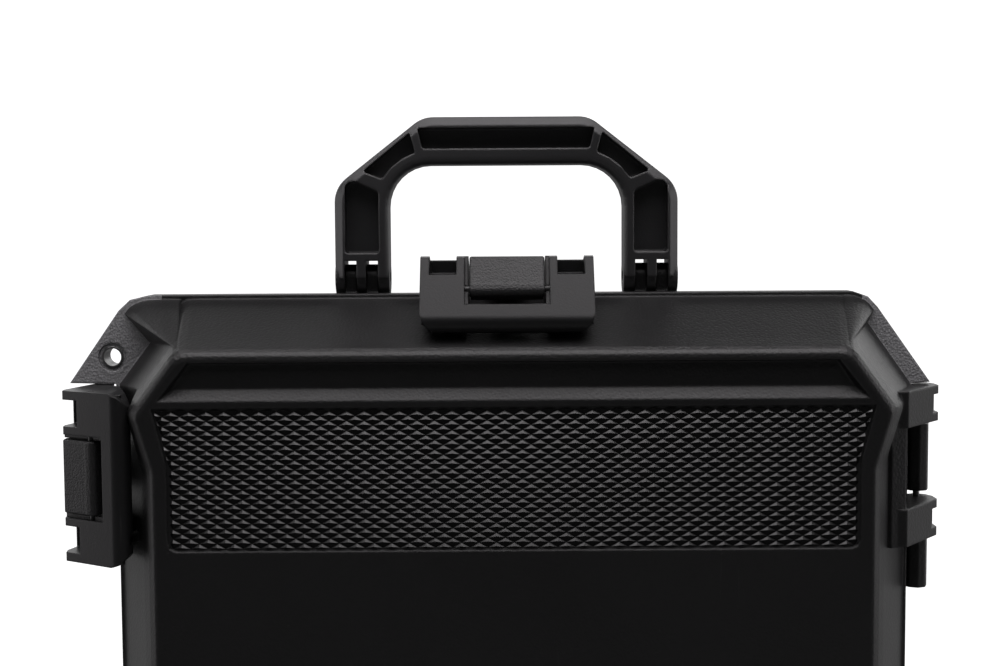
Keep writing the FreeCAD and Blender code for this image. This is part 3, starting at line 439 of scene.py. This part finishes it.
def grip_panel():
    """Staggered rows of low four-sided points, trimmed at the panel border."""
    verts, faces = [], []
    for row in range(int((POINTS_END - POINTS_TOP) / (PITCH_Z / 2)) + 2):
        below = POINTS_TOP + FIRST_ROW + row * PITCH_Z / 2
        if below > POINTS_END + OVERHANG * PITCH_Z:
            continue
        half_width = points_half_width(clamp(below, POINTS_TOP, POINTS_END))
        shift = 0.5 * PITCH_X * (row % 2)
        for column in range(-COLUMNS_EACH_SIDE, COLUMNS_EACH_SIDE + 1):
            x = column * PITCH_X + shift
            if abs(x) > half_width + OVERHANG * PITCH_X:
                continue
            left, upper, right, lower, peak = grip_point(x, below)
            if right[0] - left[0] < MIN_WIDTH or lower[1] - upper[1] < MIN_HEIGHT:
                continue
            first = len(verts)
            for corner in (left, upper, right, lower, peak):
                depth = PEAK_Y if corner is peak else FOOT_Y
                verts.append((CASE_X + corner[0] * MM, CASE_Y + depth * MM,
                              RIM_TOP - corner[1] * MM))
            for i in range(4):
                faces.append((first + i, first + (i + 1) % 4, first + 4))
            faces.append((first + 3, first + 2, first + 1, first))
    panel = mesh_object("lid_grip_points", verts, faces, MATERIALS["grip"])
    work = bmesh.new()
    work.from_mesh(panel.data)
    bmesh.ops.recalc_face_normals(work, faces=work.faces)
    work.to_mesh(panel.data)
    work.free()
    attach(panel, "lid")


grip_panel()


# ------------------------------------------------------------------ foam
FOAM_VOXEL = 0.006
WAVE_PITCH = 0.036
WAVE_DEPTH = 0.013
WAVE_FADE = 0.02          # width over which the waves die out at the border
WAVES_HALF_WIDTH = 0.158
WAVES_HALF_LENGTH = 0.335
WAVES_FRONT = 0.012       # everything behind this lid depth is waved


def soft_foam(node, body, name, shape):
    """Foam made from a CAD block: voxel grid, softened edges, then a surface profile."""
    block = bpy.data.objects.new(name, NODES[node].data.copy())
    scene.collection.objects.link(block)
    work = bmesh.new()
    work.from_mesh(block.data)
    bmesh.ops.remove_doubles(work, verts=work.verts, dist=1e-6)
    work.to_mesh(block.data)
    work.free()
    grid = block.modifiers.new("grid", "REMESH")
    grid.mode = "VOXEL"
    grid.voxel_size = FOAM_VOXEL
    soft = block.modifiers.new("soft", "SMOOTH")
    soft.factor = 0.5
    soft.iterations = 4
    bpy.context.view_layer.update()
    depsgraph = bpy.context.evaluated_depsgraph_get()
    mesh = bpy.data.meshes.new_from_object(block.evaluated_get(depsgraph))
    block.modifiers.clear()
    block.data = mesh
    for vert in mesh.vertices:
        vert.co = shape(vert.co.copy(), vert.normal.copy())
    mesh.update()
    for face in mesh.polygons:
        face.use_smooth = True
    mesh.materials.clear()
    mesh.materials.append(MATERIALS["foam"])
    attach(block, body)
    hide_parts(node)


def lid_profile(point, normal):
    """Egg-crate waves on the face toward the contents."""
    if normal.y > 0.5 or point.y > CASE_Y - WAVES_FRONT:
        x, z = point.x - CASE_X, point.z - MID_Z
        fade = (clamp((WAVES_HALF_WIDTH - abs(x)) / WAVE_FADE, 0.0, 1.0)
                * clamp((WAVES_HALF_LENGTH - abs(z)) / WAVE_FADE, 0.0, 1.0))
        wave = 0.5 - 0.5 * (math.cos(2 * math.pi * x / WAVE_PITCH)
                            * math.cos(2 * math.pi * z / WAVE_PITCH))
        point.y -= fade * WAVE_DEPTH * wave
    return point + normal * (noise.noise(point * 260.0) * 0.0004)


def base_profile(point, normal):
    """Fine and broad unevenness, shrunk slightly inward."""
    uneven = noise.noise(point * 220.0) * 0.0004 + noise.noise(point * 18.0) * 0.0006
    return point + normal * (uneven - 0.0008)


soft_foam("lid_foam", "lid", "lid_foam_waves", lid_profile)
soft_foam("base_foam", "base", "base_foam_tray", base_profile)


# ----------------------------------------------------------------- stage
BACKDROP_GLOW = 1.0
CAMERA_WHITE = 0.92   # extra brightness only the camera sees
SWEEP_HALF_WIDTH = 5.0
SWEEP_FRONT_Y = -4.0
SWEEP_BEND_Y = 1.2
SWEEP_RADIUS = 0.9
SWEEP_TOP = 4.0
SWEEP_STEPS = 12


def stage_material():
    """Pale sweep: glowing behind the case, faint in front, white to the camera,
    clear to it from the back."""
    graph = Graph("stage_paint")
    x, y, z = graph.axes(graph.position)
    level = graph.ramp(z, start=0.85, end=1.5, low=0.26, high=1.9)
    wide = graph.ramp(graph.math("ABSOLUTE", x), start=0.3, end=1.1, low=0.45, high=1.0)
    level = graph.multiply(level, wide)
    wall = graph.multiply(graph.ramp(y, start=0.5, end=1.5), graph.ramp(z, start=2.75, end=2.1))
    glow = graph.multiply(wall, level)
    glow = graph.add(glow, graph.ramp(y, start=-0.2, end=-0.5, low=0.0, high=0.05))
    glow = graph.multiply(glow, BACKDROP_GLOW)
    to_camera = graph.node("LightPath").outputs["Is Camera Ray"]
    speckle = graph.mix(graph.noise(30.0), grey(0.24), grey(0.27))
    paint = graph.node("BsdfDiffuse", Color=speckle)
    strength = graph.add(glow, graph.multiply(to_camera, CAMERA_WHITE))
    light = graph.node("Emission", Color=grey(1.0), Strength=strength)
    front = graph.node("AddShader", paint.outputs[0], light.outputs[0])
    clear = graph.node("BsdfTransparent")
    backfacing = graph.node("NewGeometry").outputs["Backfacing"]
    return graph.finish(graph.node("MixShader", graph.multiply(backfacing, to_camera),
                                   front.outputs[0], clear.outputs[0]))


def cyclorama():
    """Floor that bends up into a back wall."""
    profile = [(SWEEP_FRONT_Y, 0.0), (SWEEP_BEND_Y, 0.0)]
    for i in range(1, SWEEP_STEPS + 1):
        angle = math.radians(90 * i / SWEEP_STEPS)
        profile.append((SWEEP_BEND_Y + SWEEP_RADIUS * math.sin(angle),
                        SWEEP_RADIUS - SWEEP_RADIUS * math.cos(angle)))
    profile.append((SWEEP_BEND_Y + SWEEP_RADIUS, SWEEP_TOP))
    verts = [(x, y, z) for y, z in profile for x in (-SWEEP_HALF_WIDTH, SWEEP_HALF_WIDTH)]
    faces = [(2 * i, 2 * i + 1, 2 * i + 3, 2 * i + 2) for i in range(len(profile) - 1)]
    floor = mesh_object("floor", verts, faces, stage_material())
    for face in floor.data.polygons:
        face.use_smooth = True


cyclorama()

# Area lights: name, place, aim, width, height, watts
LIGHTS = [
    ("overhead_soft", (0.0, -0.78, 1.95), (0, CASE_Y, 0.70), 1.9, 0.8, 6.0),
    ("overhead_top", (0.0, -0.20, 1.90), (0, CASE_Y, 0.75), 2.4, 0.5, 12.0),
    ("side_left", (-1.45, -0.02, 0.80), (0, 0, 0.66), 0.34, 1.2, 2.4),
    ("side_right", (1.45, -0.02, 0.80), (0, 0, 0.66), 0.34, 1.2, 2.4),
]
LIGHT_COLOUR = (1.0, 0.965, 0.985)

for name, place, aim, width, height, watts in LIGHTS:
    light = bpy.data.lights.new(name, "AREA")
    light.shape = "RECTANGLE"
    light.size = width
    light.size_y = height
    light.energy = watts
    light.color = LIGHT_COLOUR
    lamp = bpy.data.objects.new(name, light)
    scene.collection.objects.link(lamp)
    lamp.rotation_euler = (Vector(aim) - Vector(place)).to_track_quat("-Z", "Y").to_euler()
    lamp.location = place


def studio_world():
    """White to the camera, almost dark as a light."""
    world = bpy.data.worlds.new("studio")
    scene.world = world
    world.use_nodes = True
    nodes, links = world.node_tree.nodes, world.node_tree.links
    nodes.clear()
    output = nodes.new("ShaderNodeOutputWorld")
    background = nodes.new("ShaderNodeBackground")
    path = nodes.new("ShaderNodeLightPath")
    strength = nodes.new("ShaderNodeMapRange")
    strength.inputs["To Min"].default_value = 0.02
    strength.inputs["To Max"].default_value = 1.0
    links.new(path.outputs["Is Camera Ray"], strength.inputs["Value"])
    links.new(strength.outputs["Result"], background.inputs["Strength"])
    background.inputs["Color"].default_value = grey(1.0)
    links.new(background.outputs[0], output.inputs["Surface"])


studio_world()
scene.view_settings.view_transform = "Standard"
scene.view_settings.look = "None"

CAMERA_PLACE = (CASE_X - 0.0057, CASE_Y - 0.6823, 0.7893)
CAMERA_PITCH = math.radians(4.0)  # looking down
CAMERA_ROLL = math.radians(0.35)


def add_camera():
    lens = bpy.data.cameras.new("camera")
    lens.sensor_width = 36.0
    lens.lens = 54.054054
    lens.clip_start = 0.02
    camera = bpy.data.objects.new("camera", lens)
    scene.collection.objects.link(camera)
    forward = Vector((0, math.cos(CAMERA_PITCH), -math.sin(CAMERA_PITCH)))
    level = Vector((1, 0, 0))
    upright = level.cross(forward)
    right = level * math.cos(CAMERA_ROLL) - upright * math.sin(CAMERA_ROLL)
    up = level * math.sin(CAMERA_ROLL) + upright * math.cos(CAMERA_ROLL)
    matrix = Matrix((right, up, -forward)).transposed().to_4x4()
    matrix.translation = Vector(CAMERA_PLACE)
    camera.matrix_world = matrix
    scene.camera = camera


add_camera()
